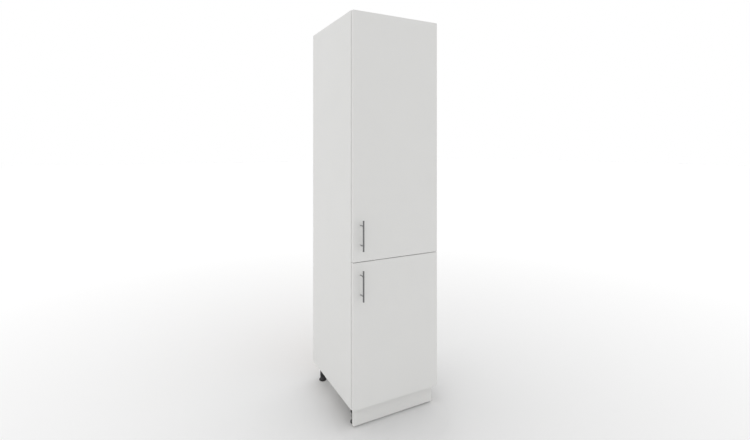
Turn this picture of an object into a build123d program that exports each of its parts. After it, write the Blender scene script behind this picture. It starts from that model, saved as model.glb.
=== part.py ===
from build123d import *
import math
import os

# A tall pantry cabinet: a white carcass with a tall upper door and a shorter lower door, both hung
# on the right on concealed hinges. It stands on adjustable legs behind a plinth.
# Millimetres. X runs to the right seen from the front, Y runs to the back and Z runs up. The origin
# is on the floor, in the middle of the footprint with the handles counted.

# Overall sizes
cabinet_width = 500.0
carcass_height = 1950.0
carcass_depth = 544.0
leg_height = 100.0

# Boards
board = 18.0
back_board = 3.0
back_void = 18.0
groove_depth = 8.0
groove_clearance = 0.3
back_edge_clearance = 1.0
back_seam = 1.0

# Doors
door_thickness = 18.0
door_stand_off = 2.5
door_side_gap = 1.5
door_end_gap = 2.0
door_joint_gap = 3.0
lower_door_height = 717.0
door_edge_radius = 1.2
bumper_radius = 4.0
bumper_end_distance = 45.0

# Loose shelves, the rows of holes in the side panels, and the pins in these holes
upper_shelf_count = 3
shelf_side_clearance = 1.0
shelf_front_setback = 22.0
shelf_back_clearance = 3.0
hole_pitch = 32.0
holes_per_shelf = 3
pin_hole_radius = 2.5
pin_hole_depth = 12.0
pin_fit = 0.05
pin_grip = 9.0
pin_tongue_length = 14.0
pin_tongue_width = 8.0
pin_tongue_thickness = 3.0
pin_tongue_chamfer = 2.5
front_pin_row = 37.0
rear_pin_row = 70.0

# Rails behind the back, and the holes for fixing the cabinet to a wall
rail_height = 100.0
wall_hole_radius = 3.5
wall_hole_clearance = 0.5
wall_hole_spacing = 300.0

# Bar handles
bar_radius = 4.0
bar_length = 150.0
bar_end_chamfer = 0.8
post_spacing = 96.0
post_radius = 3.0
handle_projection = 35.0
handle_edge_distance = 42.0
upper_handle_rise = 130.0
lower_handle_drop = 110.0

# Concealed hinges. Each pivot is given by its distance in X and Y from the middle of the cup's mouth,
# with the door shut.
hinge_end_distance = 100.0
middle_hinge_rise = 85.0
outer_arm_offset = (-12.4, -8.8)
outer_cup_offset = (11.1, -8.9)
inner_arm_offset = (-12.4, 3.2)
inner_cup_offset = (10.5, -2.7)
link_pin_radius = 1.5
link_pin_fit = 0.05
eye_radius = 2.5
link_thickness = 2.0
link_pair_half_width = 4.9
link_side_clearance = 0.3
cup_bore_radius = 17.5
cup_bore_depth = 13.0
cup_edge_distance = 4.5
cup_fit = 0.2
cup_depth = 12.4
cup_wall = 0.7
cup_pocket_half_width = 8.0
flange_thickness = 1.2
flange_half_height = 30.0
flange_reach = 19.0
flange_chamfer = 6.0
arm_wall = 1.2
arm_length = 62.0
arm_height = 15.0
arm_knee = 9.0
arm_eye_radius = 2.6
plate_thickness = 2.0
plate_system_line = 37.0
plate_length = 44.0
plate_half_width = 9.0
plate_wing_half_height = 26.0
plate_wing_half_depth = 9.0
plate_wing_chamfer = 5.0
plate_rib_inset = 2.0

# Adjustable legs
leg_side_inset = 43.5
rear_leg_inset = 48.0
front_leg_setback = 52.0
socket_plate_size = 50.0
socket_plate_chamfer = 8.0
socket_plate_thickness = 5.0
tube_radius = 15.0
foot_height = 22.0
foot_disc_radius = 21.0
foot_disc_thickness = 6.0
foot_neck_radius = 14.0
stem_radius = 10.0
stem_length = 52.0
stem_clearance = 0.3
stem_end_clearance = 3.0

# Plinth and its clips
plinth_setback = 30.0
plinth_thickness = 16.0
plinth_top_gap = 2.0
plinth_floor_gap = 8.0
plinth_end_inset = 18.0
clip_plate_width = 44.0
clip_plate_thickness = 3.0
clip_height = 22.0
clip_centre_height = 60.0
clip_wall = 2.5
clip_fit = 0.3
clip_reach = 9.0

# The number of flat faces on rounds that repeat: the shelf pins and their holes, then other small
# rounds such as the eyes of the hinge links, then wider ones such as hinge cups, handle posts and legs
pin_hole_sides = 8
small_sides = 12
wide_sides = 24

# Places worked out from the sizes above
overall_depth = handle_projection + door_thickness + door_stand_off + carcass_depth
front = -overall_depth / 2 + handle_projection + door_thickness + door_stand_off
back = front + carcass_depth
door_back = front - door_stand_off
door_front = door_back - door_thickness
bar_axis = door_front - handle_projection + bar_radius
half_width = cabinet_width / 2
side_inner = half_width - board
bottom = leg_height
top = leg_height + carcass_height
back_rear = back - back_void
back_front = back_rear - back_board

lower_door_bottom = bottom + door_end_gap
lower_door_top = lower_door_bottom + lower_door_height
upper_door_bottom = lower_door_top + door_joint_gap
upper_door_top = top - door_end_gap
door_free_edge = -half_width + door_side_gap
door_hinge_edge = half_width - door_side_gap
door_joint = (lower_door_top + upper_door_bottom) / 2
handle_x = door_free_edge + handle_edge_distance
upper_handle_centre = upper_door_bottom + upper_handle_rise
lower_handle_centre = lower_door_top - lower_handle_drop

middle_shelf_bottom = door_joint - board / 2
middle_shelf_top = door_joint + board / 2
lower_space = (bottom + board, middle_shelf_bottom)
upper_space = (middle_shelf_top, top - board)
shelf_share = (upper_space[1] - upper_space[0]) / (upper_shelf_count + 1)
shelf_step = hole_pitch * math.floor(shelf_share / hole_pitch)

# A hinge's own frame has X to the right from the inner face of the right side panel, Y to the back
# from the front edge of the carcass, and Z up from the middle of the hinge.
cup_x = door_hinge_edge - side_inner - cup_edge_distance - cup_bore_radius
cup_mouth = -door_stand_off
outer_arm_pivot = (cup_x + outer_arm_offset[0], cup_mouth + outer_arm_offset[1])
outer_cup_pivot = (cup_x + outer_cup_offset[0], cup_mouth + outer_cup_offset[1])
inner_arm_pivot = (cup_x + inner_arm_offset[0], cup_mouth + inner_arm_offset[1])
inner_cup_pivot = (cup_x + inner_cup_offset[0], cup_mouth + inner_cup_offset[1])
arm_inner = link_pair_half_width + link_side_clearance
arm_front_x = outer_arm_pivot[0] - arm_eye_radius
upper_hinge_heights = [
    upper_door_bottom + hinge_end_distance,
    (upper_door_bottom + upper_door_top) / 2 + middle_hinge_rise,
    upper_door_top - hinge_end_distance,
]
lower_hinge_heights = [lower_door_bottom + hinge_end_distance, lower_door_top - hinge_end_distance]

leg_x = half_width - leg_side_inset
leg_places = {
    "front_left": (-leg_x, front + front_leg_setback),
    "front_right": (leg_x, front + front_leg_setback),
    "rear_left": (-leg_x, back - rear_leg_inset),
    "rear_right": (leg_x, back - rear_leg_inset),
}
plinth_front = door_front + plinth_setback
plinth_rear = plinth_front + plinth_thickness


def block(x_range, y_range, z_range):
    """A rectangular block between the given limits."""
    size = [limits[1] - limits[0] for limits in (x_range, y_range, z_range)]
    corner = (x_range[0], y_range[0], z_range[0])
    return Pos(*corner) * Box(*size, align=(Align.MIN, Align.MIN, Align.MIN))


def rod(start, direction, radius, length):
    """A round bar or a drill's cut from a start point along a direction."""
    upright = Cylinder(radius, length, align=(Align.CENTER, Align.CENTER, Align.MIN))
    return Plane(origin=start, z_dir=direction) * upright


def faceted_rod(start, direction, radius, length, sides):
    """Like rod, with flat faces; the radius is measured to their corners."""
    upright = extrude(RegularPolygon(radius, sides), length, dir=(0, 0, 1))
    return Plane(origin=start, z_dir=direction) * upright


def group(solids):
    """Separate solids kept together under one name."""
    return Compound(children=list(solids))


def lower_shelf_bottom():
    """The underside of the loose shelf in the lower space."""
    return (lower_space[0] + lower_space[1] - board) / 2


def upper_shelf_bottoms():
    """The undersides of the loose shelves, spaced evenly about the middle of the upper space."""
    middle = (upper_space[0] + upper_space[1] - board) / 2
    first = middle - (upper_shelf_count - 1) / 2 * shelf_step
    return [first + i * shelf_step for i in range(upper_shelf_count)]


def pin_heights():
    """The axes of the pins that carry the loose shelves on their tongues."""
    return [z - pin_tongue_thickness / 2 for z in [lower_shelf_bottom()] + upper_shelf_bottoms()]


def pin_rows():
    """The Y places of the two rows of pin holes in each side panel."""
    return [front + front_pin_row, back_front - rear_pin_row]


def back_groove(board_limits, along):
    """The cut that takes an edge of the back, in the face between two limits of the board."""
    y_range = (back_front, back_rear + groove_clearance)
    if along == "z":
        return block(board_limits, y_range, (bottom, top))
    return block((-side_inner, side_inner), y_range, board_limits)


def pin_hole(place, side):
    return faceted_rod(place, (side, 0, 0), pin_hole_radius, pin_hole_depth, pin_hole_sides)


def side_panel(side):
    """A side panel with its groove and its rows of pin holes; side is -1 for the left, 1 for the right."""
    inner = side * side_inner
    outer = side * half_width
    panel = block(sorted((inner, outer)), (front, back), (bottom, top))
    cuts = [back_groove(sorted((inner, inner + side * groove_depth)), "z")]
    for middle in pin_heights():
        lowest = middle - (holes_per_shelf - 1) / 2 * hole_pitch
        for y in pin_rows():
            for i in range(holes_per_shelf):
                place = (inner, y, lowest + i * hole_pitch)
                cuts.append(pin_hole(place, side))
    return panel - cuts


def cross_board(z_bottom, y_end, groove_limits=None):
    """A board fixed between the side panels, with a groove where it takes the back."""
    panel = block((-side_inner, side_inner), (front, y_end), (z_bottom, z_bottom + board))
    return panel - back_groove(groove_limits, "x") if groove_limits else panel


def loose_shelf(z_bottom):
    half = side_inner - shelf_side_clearance
    y_range = (front + shelf_front_setback, back_front - shelf_back_clearance)
    return block((-half, half), y_range, (z_bottom, z_bottom + board))


def shelf_pin():
    """A pin whose spigot points to +X into a panel, and whose flat tongue reaches under a shelf."""
    spigot = faceted_rod((0, 0, 0), (1, 0, 0), pin_hole_radius - pin_fit, pin_grip, pin_hole_sides)
    tongue = block(
        (-pin_tongue_length, 0),
        (-pin_tongue_width / 2, pin_tongue_width / 2),
        (-pin_tongue_thickness / 2, pin_tongue_thickness / 2),
    )
    free_corners = tongue.edges().filter_by(Axis.Z).group_by(Axis.X)[0]
    return spigot + chamfer(free_corners, pin_tongue_chamfer)


def shelf_pins():
    """Four pins under each loose shelf."""
    places = [(y, z) for z in pin_heights() for y in pin_rows()]
    right = [Pos(side_inner, y, z) * shelf_pin() for y, z in places]
    left = [Pos(-side_inner, y, z) * Rot(0, 0, 180) * shelf_pin() for y, z in places]
    return group(right + left)


def back_sheet(z_range):
    """One of the two thin boards of the back, held in the grooves."""
    half = side_inner + groove_depth - back_edge_clearance
    return block((-half, half), (back_front, back_rear), z_range)


def wall_hole_places(y):
    """Where the screws that fix the cabinet to a wall pass through the back and the top rail."""
    return [(side * wall_hole_spacing / 2, y, top - board - rail_height / 2) for side in (-1, 1)]


def lower_back():
    return back_sheet((bottom + board - groove_depth + back_edge_clearance, door_joint - back_seam / 2))


def upper_back():
    sheet = back_sheet((door_joint + back_seam / 2, top - board + groove_depth - back_edge_clearance))
    return sheet - [
        faceted_rod(place, (0, 1, 0), wall_hole_radius + wall_hole_clearance, back_board, small_sides)
        for place in wall_hole_places(back_front)
    ]


def rear_rail(z_range):
    """A rail that fills the space behind the back and stiffens the carcass."""
    return block((-side_inner, side_inner), (back_rear, back), z_range)


def top_rear_rail():
    """The rail with the holes for the wall screws."""
    rail = rear_rail((top - board - rail_height, top - board))
    places = wall_hole_places(back_rear)
    return rail - [rod(place, (0, 1, 0), wall_hole_radius, back_void) for place in places]


def door(z_range, hinge_heights):
    """A slab door with eased front edges and bores for the hinge cups."""
    slab = block((door_free_edge, door_hinge_edge), (door_front, door_back), z_range)
    slab = fillet(slab.faces().sort_by(Axis.Y)[0].edges(), door_edge_radius)
    return slab - [
        rod((side_inner + cup_x, door_back, z), (0, -1, 0), cup_bore_radius, cup_bore_depth)
        for z in hinge_heights
    ]


def door_bumpers(z_range):
    """Soft buttons on the door's inner face that meet the edge of the left side panel."""
    x = -half_width + board / 2
    return group(
        faceted_rod((x, door_back, z), (0, 1, 0), bumper_radius, door_stand_off, small_sides)
        for z in (z_range[0] + bumper_end_distance, z_range[1] - bumper_end_distance)
    )


def bar(centre):
    """The plain round bar of a handle, upright about its middle height."""
    return rod((handle_x, bar_axis, centre - bar_length / 2), (0, 0, 1), bar_radius, bar_length)


def handle_bar(centre):
    return chamfer(bar(centre).edges().filter_by(GeomType.CIRCLE), bar_end_chamfer)


def handle_posts(centre):
    """The two posts of a handle, each with a saddle that fits the bar."""
    length = door_front - bar_axis
    places = [(handle_x, door_front, centre + dz) for dz in (-post_spacing / 2, post_spacing / 2)]
    return group(
        faceted_rod(place, (0, -1, 0), post_radius, length, wide_sides) - bar(centre) for place in places
    )


def cup_pocket(depth):
    """The hollow of a cup: a round well narrowed by two flat cheeks that hold the pin."""
    radius = cup_bore_radius - cup_fit - cup_wall
    well = faceted_rod((cup_x, cup_mouth, 0), (0, -1, 0), radius, depth, wide_sides)
    between_cheeks = block(
        (cup_x - radius, cup_x + radius),
        (cup_mouth - depth, cup_mouth),
        (-cup_pocket_half_width, cup_pocket_half_width),
    )
    return well & between_cheeks


def hinge_cup():
    """A cup let into the door, its flange on the side away from the edge, and the outer link's pin."""
    bowl = faceted_rod((cup_x, cup_mouth, 0), (0, -1, 0), cup_bore_radius - cup_fit, cup_depth, wide_sides)
    flange = block(
        (cup_x - flange_reach, cup_x + cup_wall),
        (cup_mouth, cup_mouth + flange_thickness),
        (-flange_half_height, flange_half_height),
    )
    flange = chamfer(flange.edges().filter_by(Axis.Y), flange_chamfer)
    pocket = cup_pocket(cup_depth - cup_wall)
    throat = Pos(0, flange_thickness, 0) * cup_pocket(2 * flange_thickness)
    pin_start = (outer_cup_pivot[0], outer_cup_pivot[1], -cup_pocket_half_width)
    pin = rod(pin_start, (0, 0, 1), link_pin_radius, 2 * cup_pocket_half_width)
    return bowl + flange - pocket - throat + pin


def arm_profile():
    """The side of a hinge arm: two eyes at the front, then a cranked strip to the back."""
    inner_edge = inner_arm_pivot[0] + arm_eye_radius
    pivots = (outer_arm_pivot, inner_arm_pivot)
    eyes = [Pos(*pivot) * RegularPolygon(arm_eye_radius, small_sides) for pivot in pivots]
    nose = Polygon(
        (arm_front_x, outer_arm_pivot[1]),
        (outer_arm_pivot[0] + arm_eye_radius, outer_arm_pivot[1]),
        (inner_edge, inner_arm_pivot[1]),
        (arm_front_x, inner_arm_pivot[1]),
        align=None,
    )
    strip = Polygon(
        (arm_front_x, inner_arm_pivot[1]),
        (inner_edge, inner_arm_pivot[1]),
        (-plate_thickness, arm_knee + arm_eye_radius),
        (-plate_thickness, arm_length),
        (-arm_height, arm_length),
        (-arm_height, arm_knee),
        (arm_front_x, inner_arm_pivot[1] + arm_eye_radius),
        align=None,
    )
    return nose + strip + eyes


def hinge_arm():
    """A channel-shaped arm: two walls, the web that joins them, and the two pins the links turn on."""
    wall = extrude(arm_profile(), arm_wall, dir=(0, 0, 1))
    web_start = inner_arm_pivot[1] + arm_eye_radius
    web = Polygon(
        (arm_front_x, web_start),
        (-arm_height, arm_knee),
        (-arm_height, arm_length),
        (-arm_height + arm_wall, arm_length),
        (-arm_height + arm_wall, arm_knee),
        (arm_front_x + arm_wall, web_start),
        align=None,
    )
    body = Pos(0, 0, arm_inner) * wall + Pos(0, 0, -arm_inner - arm_wall) * wall
    body += Pos(0, 0, -arm_inner) * extrude(web, 2 * arm_inner, dir=(0, 0, 1))
    for pivot in (outer_arm_pivot, inner_arm_pivot):
        body += rod((pivot[0], pivot[1], -arm_inner), (0, 0, 1), link_pin_radius, 2 * arm_inner)
    return body


def link(start, end, z_range, bored):
    """A flat link between two pivots, with an eye at each end; bored lists the ends that have holes."""
    span = (end[0] - start[0], end[1] - start[1])
    middle = ((start[0] + end[0]) / 2, (start[1] + end[1]) / 2)
    turn = math.degrees(math.atan2(span[1], span[0]))
    outline = Pos(*middle) * Rot(0, 0, turn) * Rectangle(math.hypot(*span), link_thickness)
    for place in (start, end):
        outline += Pos(*place) * RegularPolygon(eye_radius, small_sides)
    for place in bored:
        to_flats = link_pin_radius + link_pin_fit
        outline -= Pos(*place) * RegularPolygon(to_flats, small_sides, major_radius=False)
    return Pos(0, 0, z_range[0]) * extrude(outline, z_range[1] - z_range[0], dir=(0, 0, 1))


def outer_link():
    """The link nearer the cabinet's front when the door stands open."""
    limits = (-link_pair_half_width, -link_side_clearance / 2)
    return link(outer_arm_pivot, outer_cup_pivot, limits, (outer_arm_pivot, outer_cup_pivot))


def inner_link():
    """The link beside it, with its rivet fixed in the eye at the cup's end."""
    limits = (link_side_clearance / 2, link_pair_half_width)
    plain_link = link(inner_arm_pivot, inner_cup_pivot, limits, (inner_arm_pivot,))
    start = (inner_cup_pivot[0], inner_cup_pivot[1], limits[1])
    reach = cup_pocket_half_width - link_side_clearance - limits[1]
    return plain_link + faceted_rod(start, (0, 0, 1), link_pin_radius, reach, small_sides)


def mounting_plate():
    """A cross-shaped plate on the side panel, with a rib that carries the arm."""
    y_start = arm_length - plate_length
    foot_plate = block((-plate_thickness, 0), (y_start, arm_length), (-plate_half_width, plate_half_width))
    wing = block(
        (-plate_thickness, 0),
        (plate_system_line - plate_wing_half_depth, plate_system_line + plate_wing_half_depth),
        (-plate_wing_half_height, plate_wing_half_height),
    )
    wing = chamfer(wing.edges().filter_by(Axis.X), plate_wing_chamfer)
    rib = block(
        (-arm_height + arm_wall, -plate_thickness),
        (y_start + plate_rib_inset, arm_length - plate_rib_inset),
        (-link_pair_half_width, link_pair_half_width),
    )
    return foot_plate + wing + rib


def at_hinges(heights, make):
    """One copy of a hinge piece at each height, moved from the hinge's own frame to the cabinet's."""
    return group(Pos(side_inner, front, z) * make() for z in heights)


def leg_socket():
    """A plate under the carcass with a tube that takes the foot's screw stem."""
    plate_outline = chamfer(Rectangle(socket_plate_size, socket_plate_size).vertices(), socket_plate_chamfer)
    plate = extrude(plate_outline, socket_plate_thickness, dir=(0, 0, 1))
    tube = faceted_rod((0, 0, foot_height), (0, 0, 1), tube_radius, bottom - foot_height, wide_sides)
    bore_length = stem_length + stem_end_clearance
    bore_radius = stem_radius + stem_clearance
    bore = faceted_rod((0, 0, foot_height), (0, 0, 1), bore_radius, bore_length, wide_sides)
    return Pos(0, 0, bottom - socket_plate_thickness) * plate + tube - bore


def foot():
    """A foot with a wide disc, a neck that the tube stands on, and a stem inside the tube."""
    disc = faceted_rod((0, 0, 0), (0, 0, 1), foot_disc_radius, foot_disc_thickness, wide_sides)
    disc_top = Pos(0, 0, foot_disc_thickness) * RegularPolygon(foot_disc_radius, wide_sides)
    neck_height = foot_height - foot_disc_thickness
    narrowing = (foot_disc_radius - foot_neck_radius) * math.cos(math.pi / wide_sides)
    lean = math.degrees(math.atan(narrowing / neck_height))
    neck = extrude(disc_top, neck_height, dir=(0, 0, 1), taper=lean)
    stem = faceted_rod((0, 0, foot_height), (0, 0, 1), stem_radius, stem_length, wide_sides)
    return disc + neck + stem


def plinth():
    half = half_width - plinth_end_inset
    z_range = (plinth_floor_gap, leg_height - plinth_top_gap)
    return block((-half, half), (plinth_front, plinth_rear), z_range)


def plinth_clip(x, leg_y):
    """A clip on the back of the plinth whose two jaws straddle a front leg."""
    z_range = (clip_centre_height - clip_height / 2, clip_centre_height + clip_height / 2)
    plate_end = plinth_rear + clip_plate_thickness
    inner = tube_radius + clip_fit
    outer = inner + clip_wall
    plate = block((x - clip_plate_width / 2, x + clip_plate_width / 2), (plinth_rear, plate_end), z_range)
    neck = block((x - clip_wall, x + clip_wall), (plate_end, leg_y), z_range)
    saddle = faceted_rod((x, leg_y, z_range[0]), (0, 0, 1), outer, clip_height, wide_sides)
    saddle -= block((x - outer, x + outer), (leg_y, leg_y + outer), z_range)
    jaws = block((x - outer, x + outer), (leg_y, leg_y + clip_reach), z_range)
    leg_room = faceted_rod((x, leg_y, z_range[0]), (0, 0, 1), inner, clip_height, wide_sides)
    leg_room += block((x - inner, x + inner), (leg_y, leg_y + clip_reach), z_range)
    return plate + neck + saddle + jaws - leg_room


def build():
    """Every piece of the cabinet by name."""
    bottom_groove = (bottom + board - groove_depth, bottom + board)
    top_groove = (top - board, top - board + groove_depth)
    front_legs = [leg_places["front_left"], leg_places["front_right"]]
    pieces = {
        "side_panel_left": side_panel(-1),
        "side_panel_right": side_panel(1),
        "bottom_panel": cross_board(bottom, back, bottom_groove),
        "top_panel": cross_board(top - board, back, top_groove),
        "middle_shelf": cross_board(middle_shelf_bottom, back_front),
        "lower_shelf": loose_shelf(lower_shelf_bottom()),
        "shelf_pins": shelf_pins(),
        "lower_back": lower_back(),
        "upper_back": upper_back(),
        "rear_rail_bottom": rear_rail((bottom + board, bottom + board + rail_height)),
        "rear_rail_middle": rear_rail((door_joint - rail_height / 2, door_joint + rail_height / 2)),
        "rear_rail_top": top_rear_rail(),
        "leg_sockets": group(Pos(x, y, 0) * leg_socket() for x, y in leg_places.values()),
        "plinth": plinth(),
        "plinth_clips": group(plinth_clip(x, y) for x, y in front_legs),
    }
    for number, z in enumerate(upper_shelf_bottoms(), start=1):
        pieces[f"upper_shelf_{number}"] = loose_shelf(z)
    for name, (x, y) in leg_places.items():
        pieces[f"foot_{name}"] = Pos(x, y, 0) * foot()
    upper_z = (upper_door_bottom, upper_door_top)
    lower_z = (lower_door_bottom, lower_door_top)
    doors = (
        ("upper", upper_z, upper_hinge_heights, upper_handle_centre),
        ("lower", lower_z, lower_hinge_heights, lower_handle_centre),
    )
    for which, z_range, heights, handle_centre in doors:
        pieces[f"{which}_door"] = door(z_range, heights)
        pieces[f"{which}_door_bumpers"] = door_bumpers(z_range)
        pieces[f"{which}_handle_bar"] = handle_bar(handle_centre)
        pieces[f"{which}_handle_posts"] = handle_posts(handle_centre)
        pieces[f"{which}_hinge_cups"] = at_hinges(heights, hinge_cup)
        pieces[f"{which}_hinge_arms"] = at_hinges(heights, hinge_arm)
        pieces[f"{which}_hinge_plates"] = at_hinges(heights, mounting_plate)
        pieces[f"{which}_outer_links"] = at_hinges(heights, outer_link)
        pieces[f"{which}_inner_links"] = at_hinges(heights, inner_link)
    return pieces


os.makedirs("parts", exist_ok=True)
for name, piece in build().items():
    export_step(piece, f"parts/{name}.step")
    print(name)
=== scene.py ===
# %% [markdown]
# # A tall white pantry cabinet
#
# The cabinet is already built as an exact frame: every board, hinge part and foot is a named mesh
# at its real place. This lesson puts a finished piece in the place of each, with its material,
# and sets up the floor, the light and the camera. All sizes are in metres.

# %% Load the frame
import math
import bpy
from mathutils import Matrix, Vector


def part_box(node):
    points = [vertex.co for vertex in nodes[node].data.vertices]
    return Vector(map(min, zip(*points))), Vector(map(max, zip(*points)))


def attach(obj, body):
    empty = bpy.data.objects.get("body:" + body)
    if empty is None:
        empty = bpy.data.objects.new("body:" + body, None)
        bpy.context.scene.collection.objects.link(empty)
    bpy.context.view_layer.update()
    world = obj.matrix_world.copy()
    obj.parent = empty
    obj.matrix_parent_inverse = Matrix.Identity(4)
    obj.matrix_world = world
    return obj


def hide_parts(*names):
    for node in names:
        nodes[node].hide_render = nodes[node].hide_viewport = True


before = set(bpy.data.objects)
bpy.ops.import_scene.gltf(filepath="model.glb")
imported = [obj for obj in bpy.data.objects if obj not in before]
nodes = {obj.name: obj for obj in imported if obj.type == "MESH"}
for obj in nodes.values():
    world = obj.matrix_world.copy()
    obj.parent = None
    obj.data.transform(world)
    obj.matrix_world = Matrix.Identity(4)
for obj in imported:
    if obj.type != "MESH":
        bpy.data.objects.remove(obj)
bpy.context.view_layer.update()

# %% [markdown]
# ## Where things are
#
# The main places could be typed in from a drawing. They are read from the frame instead, so that
# they stay right when a board changes. The side panels give the width, the front and the height.

# %% Main places
MM = 0.001
DOORS = ("upper", "lower")
carcass_low, carcass_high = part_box("side_panel_left")[0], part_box("side_panel_right")[1]
front, bottom, top = carcass_low.y, carcass_low.z, carcass_high.z
side_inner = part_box("side_panel_right")[0].x
back_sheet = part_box("upper_back")
print("front", round(front, 4), "top", round(top, 4), "inner face", round(side_inner, 4))

# %% [markdown]
# ## A small kit for materials
#
# A Blender material is a network of nodes. It could be wired by hand in the Shader Editor, but in
# code its maths is easiest to read as ordinary expressions. `Wire` wraps one output of a node,
# and each operator on it adds the Math node that does the same. A swapped operator is for a wire
# that stands on the right, as in 1 - wire.

# %% Wires
def operator(operation, swapped=False):
    """A method that adds a Math node for a wire and another value."""
    def add_maths(wire, other):
        values = (other, wire) if swapped else (wire, other)
        return wire.network.maths(operation, *values)

    return add_maths


class Wire:
    """One output of a node, which can be used in a Python expression."""

    def __init__(self, network, socket):
        self.network = network
        self.socket = socket

    __add__, __radd__ = operator("ADD"), operator("ADD", swapped=True)
    __mul__, __rmul__ = operator("MULTIPLY"), operator("MULTIPLY", swapped=True)
    __sub__, __rsub__ = operator("SUBTRACT"), operator("SUBTRACT", swapped=True)
    __gt__ = operator("GREATER_THAN")


print("made Wire, with + - * and >")

# %% [markdown]
# `Network` holds the nodes of a material or of the world. Its `node` method adds any node, first
# with its settings and then with its inputs, and hands back a wire from one of its outputs.

# %% Networks
class Network:
    """The nodes of a material or of the world."""

    def __init__(self, tree):
        self.tree = tree

    def node(self, kind, settings=None, inputs=None, output=0):
        made = self.tree.nodes.new(kind)
        for key, value in (settings or {}).items():
            setattr(made, key, value)
        for key, value in (inputs or {}).items():
            if isinstance(value, Wire):
                self.tree.links.new(value.socket, made.inputs[key])
            else:
                made.inputs[key].default_value = value
        return Wire(self, made.outputs[output])

    def maths(self, operation, *values):
        return self.node("ShaderNodeMath", {"operation": operation}, dict(enumerate(values)))


print("made Network")

# %% [markdown]
# `Finish` is one material with a Principled shader. A value that is the same all over is set on
# the shader itself, and `feed` links what varies. The patterns lie on Object coordinates, which
# are metres here, so a noise of 2 mm is 2 mm wide on every piece, whatever the piece's size.

# %% Finishes
class Finish(Network):
    """A material with one Principled shader."""

    def __init__(self, name, **plain_values):
        self.material = bpy.data.materials.new(name)
        self.material.use_nodes = True
        super().__init__(self.material.node_tree)
        self.shader = self.tree.nodes["Principled BSDF"]
        for socket, value in plain_values.items():
            self.shader.inputs[socket.replace("_", " ")].default_value = value
        print("finish:", name)

    def feed(self, socket, wire):
        self.tree.links.new(wire.socket, self.shader.inputs[socket])

    def place(self, stretch=(1, 1, 1)):
        """Object coordinates; a stretch below 1 draws the pattern out along that axis."""
        where = self.node("ShaderNodeTexCoord", output="Object")
        return self.node("ShaderNodeMapping", {}, {"Vector": where, "Scale": stretch})

    def along(self, axis):
        """One of the object coordinates as a number in metres."""
        return self.node("ShaderNodeSeparateXYZ", {}, {0: self.place()}, output=axis)

    def noise(self, size, stretch=(1, 1, 1), detail=2.0, rough=0.5):
        """Noise between 0 and 1 whose features are about the given size in metres."""
        inputs = {"Vector": self.place(stretch), "Scale": 1 / size, "Detail": detail,
                  "Roughness": rough}
        return self.node("ShaderNodeTexNoise", {}, inputs)

    def blend(self, factor, first, second):
        """The first colour where the factor is 0, the second where it is 1."""
        inputs = {0: factor, 6: first, 7: second}
        return self.node("ShaderNodeMix", {"data_type": "RGBA"}, inputs, output=2)

    def spread(self, value, low, high):
        """Stretches the part of a pattern between two levels to run from 0 to 1."""
        inputs = {0: value, 1: low, 2: high}
        return self.node("ShaderNodeMapRange", {"clamp": True}, inputs)

    def colour(self, factor, first, second):
        self.feed("Base Color", self.blend(factor, first, second))

    def bump(self, height, depth, strength=1.0):
        inputs = {"Height": height, "Distance": depth, "Strength": strength}
        self.feed("Normal", self.node("ShaderNodeBump", {}, inputs))


# %% [markdown]
# ## White melamine
#
# The boards and doors are chipboard faced with white melamine. It has a satin sheen and a very
# fine pearl grain that the light catches at a flat angle. One plain white would look like paper.
# So a fine noise makes a low bump and an uneven sheen, and a very wide one lets the white drift.

# %% White melamine
WHITE = (0.778, 0.777, 0.764, 1)
WHITE_CLOUD = (0.762, 0.761, 0.748, 1)
CLOUD_SIZE = 220 * MM
PEARL_SIZE = 2.4 * MM

melamine = Finish("white melamine")
pearl = melamine.noise(PEARL_SIZE, detail=3.0, rough=0.6)
cloud = melamine.noise(CLOUD_SIZE, detail=1.0)
melamine.colour(cloud, WHITE, WHITE_CLOUD)
melamine.feed("Roughness", pearl * 0.10 + 0.37)
melamine.bump(pearl, depth=0.06 * MM, strength=0.35)

# %% [markdown]
# ## Edge band
#
# The boards' edges carry a glued plastic band, smoother and a trace darker than the faces. It
# could share the melamine, but then a board would look cast in one piece. Its noise is drawn out
# along the height, because such a band comes off a roll and has faint streaks.

# %% Edge band
BAND_WHITE = (0.766, 0.764, 0.750, 1)
BAND_STREAK = (0.746, 0.744, 0.730, 1)
STREAK_SIZE = 1.5 * MM
STREAK_STRETCH = (1, 1, 0.06)

edge_band = Finish("white edge band")
streak = edge_band.noise(STREAK_SIZE, stretch=STREAK_STRETCH, detail=1.0)
edge_band.colour(streak, BAND_WHITE, BAND_STREAK)
edge_band.feed("Roughness", streak * 0.12 + 0.28)
edge_band.bump(streak, depth=0.03 * MM, strength=0.3)

# %% [markdown]
# ## Bare chipboard
#
# Where no band is glued on, at the back edges and in the bores, a board shows its core: pressed
# chips of wood in many browns, with small dark gaps. Noise alone looks like sand. Voronoi cells
# have the hard borders of chips. Each has its own tone, and the distance to its middle gives the
# bump.

# %% Chipboard
CHIP_DARK = (0.230, 0.135, 0.065, 1)
CHIP_MIDDLE = (0.430, 0.285, 0.150, 1)
CHIP_LIGHT = (0.600, 0.440, 0.260, 1)
CHIP_SIZE = 1.6 * MM

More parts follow.
